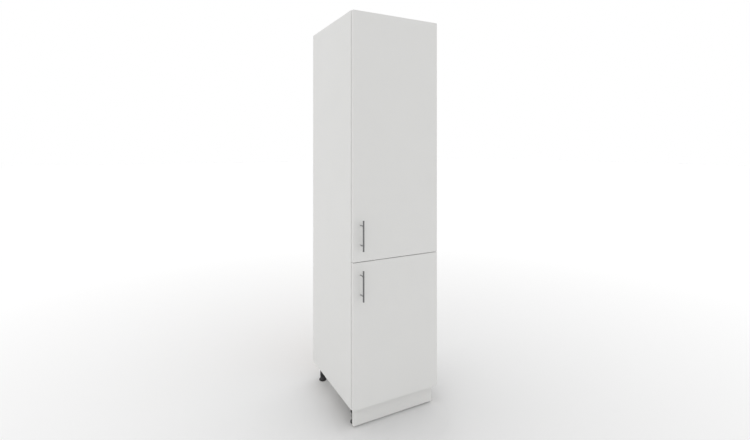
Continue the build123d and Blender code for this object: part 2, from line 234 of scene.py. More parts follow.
chipboard = Finish("bare chipboard", Specular_IOR_Level=0.2)
bend = chipboard.noise(3 * MM, detail=1.0)
drawn = {"Vector": chipboard.place((1, 1, 0.6)), "Scale": 1 / CHIP_SIZE}
chip = chipboard.node("ShaderNodeTexVoronoi", {}, drawn, output="Color")
tone = chipboard.node("ShaderNodeSeparateColor", {}, {0: chip}) * 0.75 + bend * 0.25
gap = chipboard.node("ShaderNodeTexVoronoi", {}, drawn, output="Distance")
pale = chipboard.blend(chipboard.spread(tone, 0.25, 0.6), CHIP_MIDDLE, CHIP_LIGHT)
hollow = chipboard.spread(tone, 0.22, 0.14)
chipboard.colour(hollow, pale, CHIP_DARK)
chipboard.feed("Roughness", 0.95 - tone * 0.15)
chipboard.bump(tone - gap, depth=0.2 * MM, strength=0.6)

# %% [markdown]
# ## Hardboard
#
# The back is thin hardboard. Its smooth inner face is lacquered white. Its rough one is brown and
# carries the fine square print of the screen it was pressed on. It could have two materials, but
# both sheets keep their frame meshes, which aren't edited. So one finish tells the faces apart by
# how far back they lie.

# %% Hardboard
HARD_WHITE = (0.770, 0.765, 0.750, 1)
HARD_BROWN = (0.235, 0.135, 0.066, 1)
HARD_PALE = (0.330, 0.205, 0.110, 1)
SCREEN_PITCH = 1.8 * MM
LACQUER_TO = 0.9 * MM  # past the middle of the sheet

hardboard = Finish("hardboard", Specular_IOR_Level=0.3)
middle_of_sheet = (back_sheet[0].y + back_sheet[1].y) / 2
outside = hardboard.along(1) > middle_of_sheet + LACQUER_TO
fibres = hardboard.noise(9 * MM, detail=4.0, rough=0.7)
mottle = hardboard.noise(120 * MM, detail=2.0)
turn = 2 * math.pi / SCREEN_PITCH
wave_x, wave_z = (hardboard.maths("SINE", hardboard.along(axis) * turn) for axis in (0, 2))
blotch = hardboard.spread(fibres * 0.6 + mottle * 0.4, 0.35, 0.65)
brown = hardboard.blend(blotch, HARD_BROWN, HARD_PALE)
hardboard.colour(outside, HARD_WHITE, brown)
hardboard.feed("Roughness", outside * 0.40 + 0.42)
hardboard.bump((wave_x * wave_z * 0.5 + fibres) * outside, depth=0.15 * MM, strength=0.7)

# %% [markdown]
# ## Handle steel
#
# The handles are dark satin steel, ground round and round, so that fine lines lie across the bar
# and the posts. Bar and posts are one steel, but the posts are painted paler and the bar darker:
# a painted reflection of how each catches the light of the white room. The shader's Anisotropic
# value would only stretch the highlights.
# A noise drawn out around the piece shows the lines themselves. Every metal is fully metallic,
# and its colour is the colour of its reflections.

# %% Handle steel
# Painted reflection: the bar's steel is painted darker and the posts' paler, though both are one
# steel.
BAR_SHADED_DARK = (0.140, 0.140, 0.143, 1)
BAR_SHADED_PALE = (0.205, 0.205, 0.208, 1)
POST_LIT_DARK = (0.330, 0.330, 0.333, 1)
POST_LIT_PALE = (0.430, 0.430, 0.434, 1)
GRINDING = 0.5 * MM


def ground_steel(name, dark, pale, stretch):
    """Steel with fine grinding lines, which lie across the axis that isn't stretched."""
    steel = Finish(name, Metallic=1.0)
    grinding = steel.noise(GRINDING, stretch, detail=3.0, rough=0.7)
    steel.colour(grinding, dark, pale)
    steel.feed("Roughness", grinding * 0.16 + 0.30)
    steel.bump(grinding, depth=0.02 * MM, strength=0.5)
    return steel


# Lit and shaded copies of one steel: the bar painted darker, the posts painted paler.
shaded_bar_steel = ground_steel("ground bar steel, painted darker", BAR_SHADED_DARK, BAR_SHADED_PALE, (0.04, 0.04, 1))
lit_post_steel = ground_steel("ground post steel, painted paler", POST_LIT_DARK, POST_LIT_PALE, (0.04, 1, 0.04))

# %% [markdown]
# ## Hinge nickel and zinc
#
# The hinges are plated with nickel and the screws with zinc, and both are seen only from close
# by. A clean metal would mirror the white room and vanish in it. The nickel gets wide faint
# smudges, as from fingers, and the zinc the small cloudy bloom of a passivated screw.

# %% Hinge nickel and zinc
NICKEL_PALE = (0.720, 0.700, 0.670, 1)
NICKEL_DULL = (0.600, 0.582, 0.555, 1)
ZINC_PALE = (0.560, 0.565, 0.575, 1)
ZINC_DULL = (0.400, 0.405, 0.415, 1)

nickel = Finish("hinge nickel", Metallic=1.0)
smudge = nickel.noise(14 * MM, detail=4.0, rough=0.6)
nickel.colour(nickel.spread(smudge, 0.3, 0.7), NICKEL_PALE, NICKEL_DULL)
nickel.feed("Roughness", smudge * 0.20 + 0.22)
nickel.bump(nickel.noise(0.6 * MM, detail=1.0), depth=0.01 * MM, strength=0.4)

zinc = Finish("zinc", Metallic=1.0)
bloom = zinc.noise(2.2 * MM, detail=3.0)
zinc.colour(zinc.spread(bloom, 0.35, 0.65), ZINC_PALE, ZINC_DULL)
zinc.feed("Roughness", bloom * 0.2 + 0.3)
zinc.bump(bloom, depth=0.02 * MM, strength=0.5)

# %% [markdown]
# ## Plastics
#
# The legs and clips are moulded in black plastic with the fine grain of a spark-eroded mould,
# rubbed a little shinier in places. Pure black would lose their form, so the colour stays above
# it. The bumpers are soft clear buttons. As clear as glass they would vanish on the white door,
# so they are a little milky and let only a part of the light through.

# %% Black and clear plastic
BLACK = (0.020, 0.020, 0.022, 1)
BLACK_RUBBED = (0.034, 0.034, 0.036, 1)
CLEAR = (0.860, 0.870, 0.870, 1)
CLEAR_MILKY = (0.740, 0.760, 0.765, 1)

black_plastic = Finish("black moulded plastic")
mould_grain = black_plastic.noise(0.8 * MM, detail=2.0)
rubbed = black_plastic.spread(black_plastic.noise(18 * MM, detail=3.0), 0.45, 0.75)
black_plastic.colour(rubbed, BLACK, BLACK_RUBBED)
black_plastic.feed("Roughness", 0.55 - rubbed * 0.14)
black_plastic.bump(mould_grain, depth=0.05 * MM, strength=0.6)

bumper_plastic = Finish("clear bumper plastic", Transmission_Weight=0.6, IOR=1.45)
milky = bumper_plastic.noise(2.5 * MM, detail=2.0)
bumper_plastic.colour(milky, CLEAR, CLEAR_MILKY)
bumper_plastic.feed("Roughness", milky * 0.2 + 0.15)

# %% [markdown]
# ## Tools for modelling
#
# A mesh could be typed in corner by corner. Here it is made as by hand, with Blender's own
# operators. They work on what is selected, as the mouse does, so each tool first deselects all. A
# board starts as a cube, added at its real size and place.

# %% Select, settle, block
def begin(*pieces):
    """Selects these pieces and nothing else; the first one is the active piece."""
    bpy.ops.object.select_all(action="DESELECT")
    for piece in pieces:
        piece.select_set(True)
    if pieces:
        bpy.context.view_layer.objects.active = pieces[0]


def settle():
    """Moves the selected pieces' place and turn into their meshes."""
    bpy.ops.object.transform_apply(location=True, rotation=True, scale=True)


def add_block(name, low, high):
    """A box between two corners."""
    begin()
    low, high = Vector(low), Vector(high)
    bpy.ops.mesh.primitive_cube_add(size=1, location=(low + high) / 2, scale=high - low)
    piece = bpy.context.object
    piece.name = name
    settle()
    return piece


print("tools: begin, settle, add_block")

# %% [markdown]
# Faces and edges are shaped in edit mode. They could be clicked on in a window. A script picks
# them by a test instead: it sets their select flags in object mode and then opens the mesh.

# %% Edit mode
def edit(piece, action="SELECT", kind="FACE"):
    """Opens a mesh in edit mode with all of it selected, or nothing."""
    begin(piece)
    bpy.ops.object.mode_set(mode="EDIT")
    bpy.ops.mesh.select_mode(type=kind)
    bpy.ops.mesh.select_all(action=action)


def leave_edit():
    bpy.ops.object.mode_set(mode="OBJECT")


def pick(piece, kind, chosen):
    """Opens a mesh with only those faces or edges selected that a function chooses in it."""
    edit(piece, "DESELECT", kind)
    leave_edit()
    for part in chosen(piece.data):
        part.select = True
    bpy.ops.object.mode_set(mode="EDIT")


print("tools: edit, leave_edit, pick")

# %% [markdown]
# No real edge is perfectly sharp, and only a rounded one catches the light. `ease` breaks all
# sharp edges, as sandpaper does. It could be done in edit mode, but a Bevel modifier finds the
# edges by their angle. It is applied, so that the mesh holds the final shape.

# %% Ease
EASE_STEPS = 2
EASE_ANGLE = math.radians(50)


def apply_modifiers(piece):
    begin(piece)
    for name in [modifier.name for modifier in piece.modifiers]:
        bpy.ops.object.modifier_apply(modifier=name)


def ease(piece, width):
    """Rounds all edges that are sharper than an angle."""
    bevel = piece.modifiers.new("ease", "BEVEL")
    bevel.width = width
    bevel.segments = EASE_STEPS
    bevel.limit_method = "ANGLE"
    bevel.angle_limit = EASE_ANGLE
    apply_modifiers(piece)
    return piece


print("tools: ease, by an angle of", round(math.degrees(EASE_ANGLE)), "degrees")

# %% [markdown]
# ## Boards
#
# A board has two big melamine faces, and each of its four edges is banded or left bare. A band
# could be a thin piece of its own, but it is glued on for good. So Bisect draws its glue line
# round the board, one millimetre deep, and the faces beyond the line get the band's material. A
# bare edge is one flat face with the chipboard material.

# %% Boards with banded and bare edges
FRONT, REAR = Vector((0, -1, 0)), Vector((0, 1, 0))
LEFT, RIGHT = Vector((-1, 0, 0)), Vector((1, 0, 0))
ABOVE, BELOW = Vector((0, 0, 1)), Vector((0, 0, -1))
BAND_DEPTH = 1 * MM
BOARD_EASE = 0.35 * MM
BAND_SLOT, CORE_SLOT = 1, 2
SAME_WAY = 0.99  # dot product of two directions that agree


def dress(piece, *finishes):
    """Gives a piece its materials; the first one is on all faces."""
    piece.data.materials.clear()
    for finish in finishes:
        piece.data.materials.append(finish.material)
    return piece


def band(piece, sides):
    """Puts the band's material on the outermost strip towards each side."""
    for side in sides:
        line = max(side.dot(vertex.co) for vertex in piece.data.vertices) - BAND_DEPTH
        edit(piece)
        bpy.ops.mesh.bisect(plane_co=side * line, plane_no=side)
        leave_edit()
        for face in piece.data.polygons:
            if side.dot(face.center) > line:
                face.material_index = BAND_SLOT


def board(name, node, banded=(), bare=()):
    """A melamine board of the node's size with eased edges."""
    piece = ease(add_block(name, *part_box(node)), BOARD_EASE)
    dress(piece, melamine, edge_band, chipboard)
    band(piece, banded)
    for face in piece.data.polygons:
        if any(side.dot(face.normal) > SAME_WAY for side in bare):
            face.material_index = CORE_SLOT
    return piece


print("tools: dress, band, board; a band is", BAND_DEPTH / MM, "mm deep")

# %% [markdown]
# Holes and grooves could be painted on, but an open door shows their depth, so a Boolean modifier
# cuts them. All cutters of one cut are joined first, and it runs once. The walls of a hole take
# the cutter's material, which is how a bore in a white board comes out brown.

# %% Rod, join, cut
def add_rod(name, start, end, radius, sides=32):
    """A round rod between two points."""
    begin()
    start, end = Vector(start), Vector(end)
    span = end - start
    facing = span.to_track_quat("Z", "Y").to_euler()
    bpy.ops.mesh.primitive_cylinder_add(vertices=sides, radius=radius, depth=span.length,
                                        location=(start + end) / 2, rotation=facing)
    piece = bpy.context.object
    piece.name = name
    settle()
    return piece


def join(pieces, name):
    begin(*pieces)
    if len(pieces) > 1:
        bpy.ops.object.join()
    pieces[0].name = name
    return pieces[0]


def cut(piece, cutters, finish=None):
    """Takes the cutters out of a piece; the new walls get the given finish."""
    cutter = join(cutters, "cutter")
    boolean = piece.modifiers.new("cut", "BOOLEAN")
    boolean.operation = "DIFFERENCE"
    boolean.solver = "EXACT"
    boolean.object = cutter
    if finish:
        dress(cutter, finish)
        boolean.material_mode = "TRANSFER"
    apply_modifiers(piece)
    bpy.data.objects.remove(cutter)
    return piece


print("tools: add_rod, join, cut")

# %% [markdown]
# A finished piece has to know the frame nodes it stands for and the body it moves with. One
# function says both, so that neither is forgotten.

# %% Mount
def mount(piece, body, slot, *stands_for):
    """Puts a finished piece on its body and says which frame nodes it stands for."""
    if stands_for:
        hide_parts(*stands_for)
    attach(piece, body)
    print(piece.name, len(piece.data.polygons), "faces on", body)


print("tools: mount")

# %% [markdown]
# ## Places of the shelf pins
#
# A shelf pin is a steel spigot with a flat tongue, on which the shelf lies. The drill holes have
# to meet the pins, so their places aren't typed in twice: the rows come from the box around the
# frame's pins, half a tongue inwards, and the heights from the undersides of the shelves.

# %% Pin places
TONGUE_LENGTH, TONGUE_WIDTH, TONGUE_THICK = 14 * MM, 8 * MM, 3 * MM
SHELVES = ("lower_shelf", "upper_shelf_1", "upper_shelf_2", "upper_shelf_3")
pins_low, pins_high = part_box("shelf_pins")
pin_rows = (pins_low.y + TONGUE_WIDTH / 2, pins_high.y - TONGUE_WIDTH / 2)
pin_heights = [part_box(shelf)[0].z - TONGUE_THICK / 2 for shelf in SHELVES]
print("pin rows", [round(y, 4) for y in pin_rows], "heights", [round(z, 4) for z in pin_heights])

# %% [markdown]
# ## Side panels
#
# Each side panel has a groove for the back and, for every shelf, six holes for its pins: at their
# height and one step of 32 mm above and below. One panel could be mirrored into the other, but a
# loop over both keeps all faces pointing outwards. The cutters stick out at their open ends, so
# that no two faces lie in one plane.

# %% Side panels
OVERSHOOT = 1 * MM
HOLE_STEP = 32 * MM
PIN_HOLE_RADIUS, PIN_HOLE_DEPTH = 2.5 * MM, 12 * MM
GROOVE_DEPTH, GROOVE_SLACK = 8 * MM, 0.3 * MM

for side, hand in ((-1, "left"), (1, "right")):
    node = "side_panel_" + hand
    panel = board(hand + "_side_board", node, banded=[FRONT], bare=[REAR, ABOVE, BELOW])
    open_end, groove_end, hole_end = (
        side * (side_inner + depth) for depth in (-OVERSHOOT, GROOVE_DEPTH, PIN_HOLE_DEPTH)
    )
    groove_low = (min(open_end, groove_end), back_sheet[0].y, bottom - OVERSHOOT)
    groove_high = (max(open_end, groove_end), back_sheet[1].y + GROOVE_SLACK, top + OVERSHOOT)
    cutters = [add_block("groove", groove_low, groove_high)]
    for middle in pin_heights:
        for height in (middle - HOLE_STEP, middle, middle + HOLE_STEP):
            for row in pin_rows:
                ends = (open_end, row, height), (hole_end, row, height)
                cutters.append(add_rod("pin hole", *ends, PIN_HOLE_RADIUS, sides=20))
    cut(panel, cutters, chipboard)
    mount(panel, "carcass", "white_board", node)

# %% [markdown]
# ## Cam bores
#
# The top, bottom and middle boards and the rails are held by cam locks: a zinc disc in a round
# bore grips a bolt from the side panel. The discs could be set in when each board is made. Here
# every board only notes where its bores are, and one later step fills them all.

# %% Cam bores
CAM_RADIUS, CAM_BORE, CAM_SLACK = 7.5 * MM, 3 * MM, 0.2 * MM
CAM_FROM_SIDE, CAM_FROM_EDGE = 34 * MM, 60 * MM
cam_columns = (CAM_FROM_SIDE - side_inner, side_inner - CAM_FROM_SIDE)
cam_rows = (front + CAM_FROM_EDGE, back_sheet[0].y - CAM_FROM_EDGE)
cam_places = []


def cam_bores(places, facing):
    """Notes the places of cams and makes cutters for their bores, which open to one side."""
    cam_places.append((places, facing))
    cutters = []
    for place in places:
        ends = Vector(place) - facing * CAM_BORE, Vector(place) + facing * OVERSHOOT
        cutters.append(add_rod("cam bore", *ends, CAM_RADIUS + CAM_SLACK))
    return cutters


print("cam columns", [round(x, 4) for x in cam_columns], "rows", [round(y, 4) for y in cam_rows])

# %% [markdown]
# ## Cross boards
#
# The top, bottom and middle boards have the same cam bores, and a groove where a back sheet ends:
# the top board below, the bottom board above, the middle one on both faces. Each could have a
# cell of its own, but they differ so little that one loop makes all three.

# %% Cross boards
PAST_ENDS = 1.0  # past the ends of any board
groove_back = back_sheet[1].y + GROOVE_SLACK

for name, node, facing in (
    ("top_board", "top_panel", ABOVE),
    ("bottom_board", "bottom_panel", BELOW),
    ("middle_board", "middle_shelf", BELOW),
):
    low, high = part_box(node)
    piece = board(name, node, banded=[FRONT], bare=[REAR])
    face_height = high.z if facing == ABOVE else low.z
    places = [(x, y, face_height) for x in cam_columns for y in cam_rows]
    cut(piece, cam_bores(places, facing), chipboard)
    grooves = []
    if node != "bottom_panel":
        grooves.append((low.z - OVERSHOOT, low.z + GROOVE_DEPTH))
    if node != "top_panel":
        grooves.append((high.z - GROOVE_DEPTH, high.z + OVERSHOOT))
    slots = [
        add_block("slot", (-PAST_ENDS, back_sheet[0].y, start), (PAST_ENDS, groove_back, end))
        for start, end in grooves
    ]
    cut(piece, slots, chipboard)
    mount(piece, "carcass", "white_board", node)

# %% [markdown]
# ## Loose shelves
#
# A loose shelf lies on four pins and has nothing cut into it. Its plain frame mesh could stay,
# but it has no eased edges and no band, and both show when a door is open.

# %% Loose shelves
for node in SHELVES:
    mount(board(node + "_board", node, banded=[FRONT]), "carcass", "white_board", node)

# %% [markdown]
# ## Rails and back sheets
#
# Three strips of board stiffen the carcass behind the back, and the top one has two holes for
# wall screws. No one sees their long edges, so these are bare. The back sheets could be made anew
# as well, but they are plain sheets: they keep their frame meshes and only get a finish.

# %% Rails and back sheets
WALL_HOLE_RADIUS = 3.5 * MM
WALL_HOLE_X = 150 * MM

for node in ("rear_rail_bottom", "rear_rail_middle", "rear_rail_top"):
    low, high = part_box(node)
    rail = board(node + "_board", node, bare=[ABOVE, BELOW])
    height = (low.z + high.z) / 2
    cutters = cam_bores([(x, high.y, height) for x in cam_columns], REAR)
    if node == "rear_rail_top":
        for x in (-WALL_HOLE_X, WALL_HOLE_X):
            ends = (x, low.y - OVERSHOOT, height), (x, high.y + OVERSHOOT, height)
            cutters.append(add_rod("wall hole", *ends, WALL_HOLE_RADIUS))
    mount(cut(rail, cutters, chipboard), "carcass", "white_board", node)

for node in ("lower_back", "upper_back"):
    dress(nodes[node], hardboard)
    print(node, "keeps its mesh")

# %% [markdown]
# ## Turned pieces
#
# A foot, a bar or a screw head is the same all round, as if turned on a lathe. A stack of
# cylinders could stand in for it, but would have no slopes. Here a single point is extruded along
# the half section, step by step, and the line is spun about the Z axis.

# %% Turn, smooth
MERGE = 0.002 * MM


def turned(name, section, steps=48):
    """A round piece about the Z axis from its half section, a list of (radius, height)."""
    begin()
    bpy.ops.mesh.primitive_plane_add(size=1)
    piece = bpy.context.object
    piece.name = name
    edit(piece, kind="VERT")
    bpy.ops.mesh.merge(type="CENTER")
    here = Vector((section[0][0], 0, section[0][1]))
    bpy.ops.transform.translate(value=here)
    for radius, height in section[1:]:
        there = Vector((radius, 0, height))
        bpy.ops.mesh.extrude_region_move(TRANSFORM_OT_translate={"value": there - here})
        here = there
    bpy.ops.mesh.select_all(action="SELECT")
    bpy.ops.mesh.spin(steps=steps, angle=2 * math.pi, center=(0, 0, 0), axis=(0, 0, 1))
    bpy.ops.mesh.select_all(action="SELECT")
    bpy.ops.mesh.remove_doubles(threshold=MERGE)
    bpy.ops.mesh.normals_make_consistent(inside=False)
    leave_edit()
    return piece


def smooth(piece, degrees=35):
    """Shades gentle edges round and keeps the sharper ones crisp."""
    begin(piece)
    bpy.ops.object.shade_smooth_by_angle(angle=math.radians(degrees))
    return piece


def in_metres(section):
    """A section written in millimetres, as lengths in metres."""
    return [(radius * MM, height * MM) for radius, height in section]


print("tools: turned, smooth, in_metres")

# %% [markdown]
# ## Heads of cams and screws
#
# Cams and screws show only their heads: turned discs, domed a little, with a cross recess. The
# recess could be a dark cross in the material, but that looks printed on. It is cut with two thin
# blocks, and it is what makes a small grey disc read as a screw.

# %% Cross-slotted heads
SHOULDER, CROWN, SLOT_REACH = 0.85, 0.5, 0.55


def cross_head(name, radius, height, slot_width, slot_depth, dome=0.6):
    """A low domed head on the plane z = 0 with a cross recess."""
    section = [(0, 0), (radius, 0), (radius, height * (1 - dome)),
               (radius * SHOULDER, height * (1 - dome / 4)), (radius * CROWN, height), (0, height)]
    head = turned(name, section, steps=32)
    long, half = radius * SLOT_REACH, slot_width / 2
    floor_height = height - slot_depth
    for x, y in ((long, half), (half, long)):
        cut(head, [add_block("slot", (-x, -y, floor_height), (x, y, height + OVERSHOOT))])
    return smooth(dress(head, zinc), degrees=30)


print("tools: cross_head")

# %% [markdown]
# ## Cams
#
# A cam is a zinc disc that lies just below the face of its board. All could be modelled in place.
# A small piece is made only once, at the origin and facing up, and then copied to each of its
# places, turned to face the open side of its bore.

# %% Copies, cams
UP, DOWN = (0, 0, 0), (math.pi, 0, 0)
TO_BACK, TO_LEFT = (-math.pi / 2, 0, 0), (0, -math.pi / 2, 0)
CAM_SUNK = 0.3 * MM


def put(piece, place, facing=UP):
    """Turns a piece made at the origin to face a side and moves it to its place."""
    piece.location = place
    piece.rotation_euler = facing
    begin(piece)
    settle()
    return piece


def copies(piece, places, name, facing=UP):
    """Puts a copy at each place and joins them all into one piece."""
    twins = []
    for place in places:
        begin(piece)
        bpy.ops.object.duplicate(linked=False)
        twins.append(put(bpy.context.object, place, facing))
    return join(twins, name)


def discard(*pieces):
    for piece in pieces:
        bpy.data.objects.remove(piece)


cam = cross_head("cam", CAM_RADIUS, CAM_BORE - CAM_SUNK,
                 slot_width=1.6 * MM, slot_depth=1.8 * MM, dome=0.12)
turns = {tuple(ABOVE): UP, tuple(BELOW): DOWN, tuple(REAR): TO_BACK}
sets = []
for places, facing in cam_places:
    floors = [Vector(place) - facing * CAM_BORE for place in places]
    sets.append(copies(cam, floors, "cams", turns[tuple(facing)]))
mount(join(sets, "cam_locks"), "carcass", "hinge_steel")
discard(cam)

# %% [markdown]
# ## Shelf pins
#
# The spigot is a rod with eased ends. The tongue is a block whose two free corners are rounded in
# plan, more than its other edges. `ease` can't tell them apart, so `round_edges` picks single
# edges by where their two ends lie and rounds them with the Bevel tool.

# %% Shelf pins
APART = 0.5 * MM  # ends further apart lie on different sides
PIN_RADIUS, PIN_GRIP, PIN_SUNK = 2.45 * MM, 9 * MM, 0.5 * MM
TONGUE_CORNER = 2.5 * MM
HALF_TURN = (0, 0, math.pi)


def round_edges(piece, wanted, radius, segments):
    """Rounds the edges whose two ends pass a test."""
    def chosen(mesh):
        ends = [[mesh.vertices[number].co for number in edge.vertices] for edge in mesh.edges]
        return [edge for edge, (a, b) in zip(mesh.edges, ends) if wanted(a, b)]

    pick(piece, "EDGE", chosen)
    bpy.ops.mesh.bevel(offset=radius, segments=segments, affect="EDGES")
    leave_edit()
    return piece


tongue = add_block("tongue", (-TONGUE_LENGTH, -TONGUE_WIDTH / 2, -TONGUE_THICK / 2),
                   (0, TONGUE_WIDTH / 2, TONGUE_THICK / 2))
round_edges(tongue, lambda a, b: abs(a.z - b.z) > APART and a.x < -APART,
            radius=TONGUE_CORNER, segments=5)
ease(tongue, width=0.3 * MM)
spigot = add_rod("spigot", (-PIN_SUNK, 0, 0), (PIN_GRIP, 0, 0), PIN_RADIUS, sides=20)
ease(spigot, width=0.4 * MM)
shelf_pin = smooth(dress(join([tongue, spigot], "shelf pin"), nickel))
places = [(side_inner, row, height) for row in pin_rows for height in pin_heights]
right_pins = copies(shelf_pin, places, "right pins")
left_pins = copies(shelf_pin, [(-x, y, z) for x, y, z in places], "left pins", HALF_TURN)
mount(join([right_pins, left_pins], "steel_shelf_pins"), "carcass", "hinge_steel", "shelf_pins")
discard(shelf_pin)

# %% [markdown]
# ## Places of the hinges
#
# The tall door hangs on three concealed hinges and the short one on two, at fixed distances from
# the doors' ends. Their heights could be read off the frame's cups, but one node holds all cups
# of a door. So the same rule gives them here for the bores, the cups and the screws.

# %% Hinge heights
HINGE_TO_DOOR_END = 100 * MM
MIDDLE_HINGE_RISE = 85 * MM


def hinge_heights(which):
    """Heights of a door's hinges; the tall door has a third one near its middle."""
    low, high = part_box(which + "_door")
    heights = [low.z + HINGE_TO_DOOR_END, high.z - HINGE_TO_DOOR_END]
    if which == "upper":
        heights.append((low.z + high.z) / 2 + MIDDLE_HINGE_RISE)
    return heights


for which in DOORS:
    print(which, "hinges at", [round(height, 4) for height in hinge_heights(which)])

# %% [markdown]
# ## Doors
#
# A door is a slab banded on all four edges. It could be one more board, but a door is touched all
# day: its front edges are rounded more than the others, and first. On its inner face each hinge
# cup has a round bore with a wall of bare chipboard.

# %% Doors
DOOR_ROUND, DOOR_EASE = 0.6 * MM, 0.3 * MM
CUP_X = -5.5 * MM
CUP_BORE_RADIUS, CUP_BORE_DEPTH = 17.5 * MM, 13 * MM

for which in DOORS:
    node = which + "_door"
    low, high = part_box(node)
    slab = add_block(node + "_slab", low, high)
    round_edges(slab, lambda a, b: max(a.y, b.y) < low.y + APART, radius=DOOR_ROUND, segments=4)
    dress(ease(slab, DOOR_EASE), melamine, edge_band)
    band(slab, [LEFT, RIGHT, ABOVE, BELOW])
    bores = []
    for height in hinge_heights(which):
        x = side_inner + CUP_X
        ends = (x, high.y + OVERSHOOT, height), (x, high.y - CUP_BORE_DEPTH, height)
        bores.append(add_rod("cup bore", *ends, CUP_BORE_RADIUS, sides=48))
    cut(slab, bores, chipboard)
    mount(slab, node, "white_board", node)

# %% [markdown]
# ## Handles
#
# Each handle is a slim round bar on two posts, with the heads of its screws on the inside of the
# door. The bar could be a plain rod, but its ends are seen against the white door, so it is
# turned with a small chamfer at both. A post is a rod that runs into the bar.

# %% Handles
POST_RADIUS, POST_EASE = 3 * MM, 0.2 * MM
POST_TO_POST = 96 * MM
BAR_CHAMFER = 0.7 * MM

handle_screw = cross_head("handle screw", 4 * MM, 2.2 * MM,
                          slot_width=1.1 * MM, slot_depth=1.3 * MM)
for which in DOORS:
    door, bar_node, post_node = (which + end for end in ("_door", "_handle_bar", "_handle_posts"))
    low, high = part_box(bar_node)
    centre = (low + high) / 2
    radius, length = (high.x - low.x) / 2, high.z - low.z
    inner = radius - BAR_CHAMFER
    section = [(0, 0), (inner, 0), (radius, BAR_CHAMFER),
               (radius, length - BAR_CHAMFER), (inner, length), (0, length)]
    bar = put(turned(which + "_bar", section), (centre.x, centre.y, low.z))
    mount(smooth(dress(bar, shaded_bar_steel), degrees=30), door, "handle_steel", bar_node)
    door_front, door_back = (corner.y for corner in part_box(door))
    posts, screw_places = [], []
    for height in (centre.z - POST_TO_POST / 2, centre.z + POST_TO_POST / 2):
        ends = (centre.x, door_front, height), (centre.x, centre.y, height)
        posts.append(add_rod("post", *ends, POST_RADIUS))
        screw_places.append((centre.x, door_back, height))
    posts = ease(join(posts, which + "_posts"), POST_EASE)
    mount(smooth(dress(posts, lit_post_steel)), door, "handle_steel", post_node)
    screws = copies(handle_screw, screw_places, which + "_handle_screws", TO_BACK)
    mount(screws, door, "handle_steel")
discard(handle_screw)

# %% [markdown]
# ## Arms, plates and links of the hinges
#
# In a concealed hinge two links carry the door's cup out and round the edge of the side panel.
# Arm, plate and links could be modelled again, but their pivots have to stay exactly where the
# frame has them. So each starts from a copy of its frame mesh: the loose triangles are merged,
# flat faces are dissolved into one, and the edges are eased.

# %% A finished copy of a frame mesh
FRAME_MERGE = 0.005 * MM
FLAT = math.radians(1)
ARM_EASE, PLATE_EASE, LINK_EASE = 0.25 * MM, 0.3 * MM, 0.15 * MM


def refine(node, name, finish, width):
    """A merged and eased copy of a CAD node's mesh."""
    piece = bpy.data.objects.new(name, nodes[node].data.copy())
    bpy.context.collection.objects.link(piece)
    edit(piece)
    bpy.ops.mesh.remove_doubles(threshold=FRAME_MERGE)
    bpy.ops.mesh.dissolve_limited(angle_limit=FLAT)
    leave_edit()
    ease(piece, width)
    return smooth(dress(piece, finish))


for which in DOORS:
    for part, width in (("arms", ARM_EASE), ("plates", PLATE_EASE)):
        node = which + "_hinge_" + part
        mount(refine(node, which + "_" + part, nickel, width), "carcass", "hinge_steel", node)
    for link in ("_outer_link", "_inner_link"):
        node = which + link + "s"
        mount(refine(node, which + link + "_set", nickel, LINK_EASE), node, "hinge_steel", node)

# %% [markdown]
# ## Hinge cups
#
# The cup is a bowl let into the door, with a screwed flange and a well in which the links move.
# It is modelled once in the hinge's own frame, whose origin lies where the side panel's inner
# face meets the carcass front. The bowl could be a hollow shell from the start. It is turned
# solid, because its well isn't round. The flange is a block with its corners rounded in plan.

# %% Bowl and flange
CUP_MOUTH = -2.5 * MM
BOWL_RADIUS, BOWL_DEPTH, BOWL_WALL = 17.3 * MM, 12.4 * MM, 0.7 * MM
BOWL_CORNER, CORNER_STEP = 1.2 * MM, 0.35 * MM
FLANGE_X = (-24.5 * MM, -4.8 * MM)
FLANGE_HALF, FLANGE_THICK, FLANGE_SUNK = 30 * MM, 1.2 * MM, 0.3 * MM
FLANGE_CORNER = 6 * MM

section = [(0, 0), (BOWL_RADIUS - BOWL_CORNER, 0), (BOWL_RADIUS - CORNER_STEP, CORNER_STEP),
           (BOWL_RADIUS, BOWL_CORNER), (BOWL_RADIUS, BOWL_DEPTH), (0, BOWL_DEPTH)]
bowl = put(turned("bowl", section), (CUP_X, CUP_MOUTH - BOWL_DEPTH, 0), TO_BACK)
flange = add_block("flange", (FLANGE_X[0], CUP_MOUTH - FLANGE_SUNK, -FLANGE_HALF),
                   (FLANGE_X[1], CUP_MOUTH + FLANGE_THICK, FLANGE_HALF))
round_edges(flange, lambda a, b: abs(a.y - b.y) > APART, radius=FLANGE_CORNER, segments=6)
print("bowl", len(bowl.data.polygons), "faces, flange", len(flange.data.polygons), "faces")

# %% [markdown]
# The well is a rod whose two sides are sliced flat with Bisect, and a Boolean takes it out of
# bowl and flange. The bowl's rim is eased afterwards: with the door fully open, the links pass it
# by a fraction of a millimetre, and a sharp rim would touch them.

# %% Well and pin
CHEEK = 8 * MM
CUP_PIN_X, CUP_PIN_Y, CUP_PIN_RADIUS = 5.6 * MM, -11.4 * MM, 1.5 * MM


def well(start, end):
    """A cutter for a round well that is cut narrower by two flat cheeks."""
    ends = (CUP_X, start, 0), (CUP_X, end, 0)
    piece = add_rod("well", *ends, BOWL_RADIUS - BOWL_WALL, sides=48)
    for side in (-1, 1):
        edit(piece)
        bpy.ops.mesh.bisect(plane_co=(0, 0, side * CHEEK), plane_no=(0, 0, side),
                            clear_outer=True, use_fill=True)
        leave_edit()
    return piece


